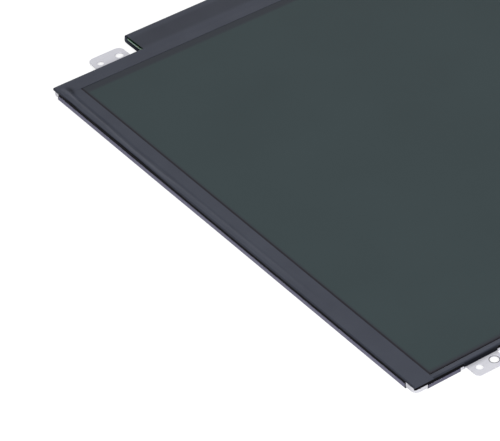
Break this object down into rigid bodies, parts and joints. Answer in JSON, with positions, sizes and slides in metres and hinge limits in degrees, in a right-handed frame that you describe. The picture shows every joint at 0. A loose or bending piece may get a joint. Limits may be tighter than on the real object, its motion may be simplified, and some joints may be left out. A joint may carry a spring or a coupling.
{
  "type": "laptop screen panel",
  "caption": "Slim flat display module for a laptop lid: satin dark face, taped metal pan with screw ears and a film-wrapped control board along one edge.",
  "frame": {"origin": "under the middle of the outline, on the plane of the pan's pressed-out back", "axes": "+X to the right of the picture, +Y from the control board edge to the top edge, +Z out of the face"},
  "size_m": [0.3594, 0.2239, 0.0032],
  "materials": {
    "pan_metal": "rolled sheet, satin",
    "frame_plastic": "fine moulded texture",
    "face_polariser": "anti-glare satin",
    "shading_film": "satin film",
    "wall_tape": "satin film",
    "white_sheet": "white satin",
    "clear_sheet": "clear",
    "panel_glass": "polished",
    "dark_sheet": "smooth",
    "flex_film": "amber film",
    "lamp_body": "moulded",
    "board_laminate": "solder mask",
    "chip_black": "moulded",
    "ceramic": "fired",
    "socket_plastic": "moulded",
    "socket_steel": "plated",
    "contact_metal": "plated"
  },
  "bodies": {
    "root": {"rear_chassis": "pan_metal", "mould_frame": "frame_plastic", "front_polariser": "face_polariser", "board_cover_film": "shading_film", "right_border_tape": "shading_film", "left_border_tape": "shading_film", "top_border_tape": "shading_film", "right_wall_tape": "wall_tape", "left_wall_tape": "wall_tape", "top_wall_tape_right": "wall_tape", "top_wall_tape_middle": "wall_tape", "top_wall_tape_left": "wall_tape", "reflector_sheet": "white_sheet", "lower_diffuser_sheet": "white_sheet", "upper_diffuser_sheet": "white_sheet", "light_guide_plate": "clear_sheet", "lower_prism_sheet": "clear_sheet", "upper_prism_sheet": "clear_sheet", "array_glass": "panel_glass", "colour_filter_glass": "panel_glass", "rear_polariser": "dark_sheet", "glass_bonding_tape": "dark_sheet", "led_flex_board": "flex_film", "source_flex_films": "flex_film", "led_packages": "lamp_body", "control_board": "board_laminate", "source_driver_chips": "chip_black", "timing_controller_chip": "chip_black", "panel_power_chip": "chip_black", "led_driver_chip": "chip_black", "power_inductors": "chip_black", "chip_resistors": "chip_black", "ceramic_capacitors": "ceramic", "signal_socket_housing": "socket_plastic", "led_tail_socket": "socket_plastic", "signal_socket_shell": "socket_steel", "signal_socket_contacts": "contact_metal"}
  },
  "joints": []
}
